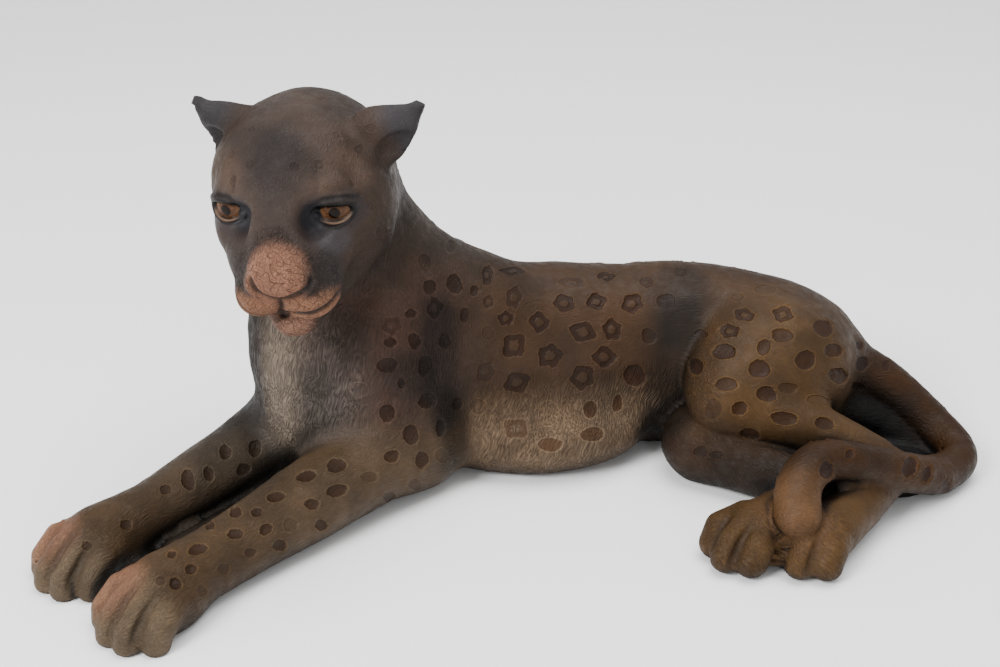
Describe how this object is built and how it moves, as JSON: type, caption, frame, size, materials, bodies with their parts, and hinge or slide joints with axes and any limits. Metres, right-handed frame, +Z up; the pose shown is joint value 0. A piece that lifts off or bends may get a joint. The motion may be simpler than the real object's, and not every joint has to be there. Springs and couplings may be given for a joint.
{
  "type": "panther figurine",
  "caption": "Reclining big cat cast in resin, forelegs stretched out, hind legs and tail folded to one side, with inset domed eyes.",
  "frame": {"origin": "on the ground, under the middle of the figure's bounding box", "axes": "+Z up, the animal reclines along X with its chest and forelegs towards -X and its left flank towards -Y"},
  "size_m": [0.5888, 0.299, 0.2651],
  "materials": {
    "resin": "carved fur, hand painted in browns and charcoal, satin",
    "eye": "polished dome over a painted amber iris"
  },
  "bodies": {
    "root": {"panther_body": "resin", "left_eye": "eye", "right_eye": "eye"}
  },
  "joints": []
}
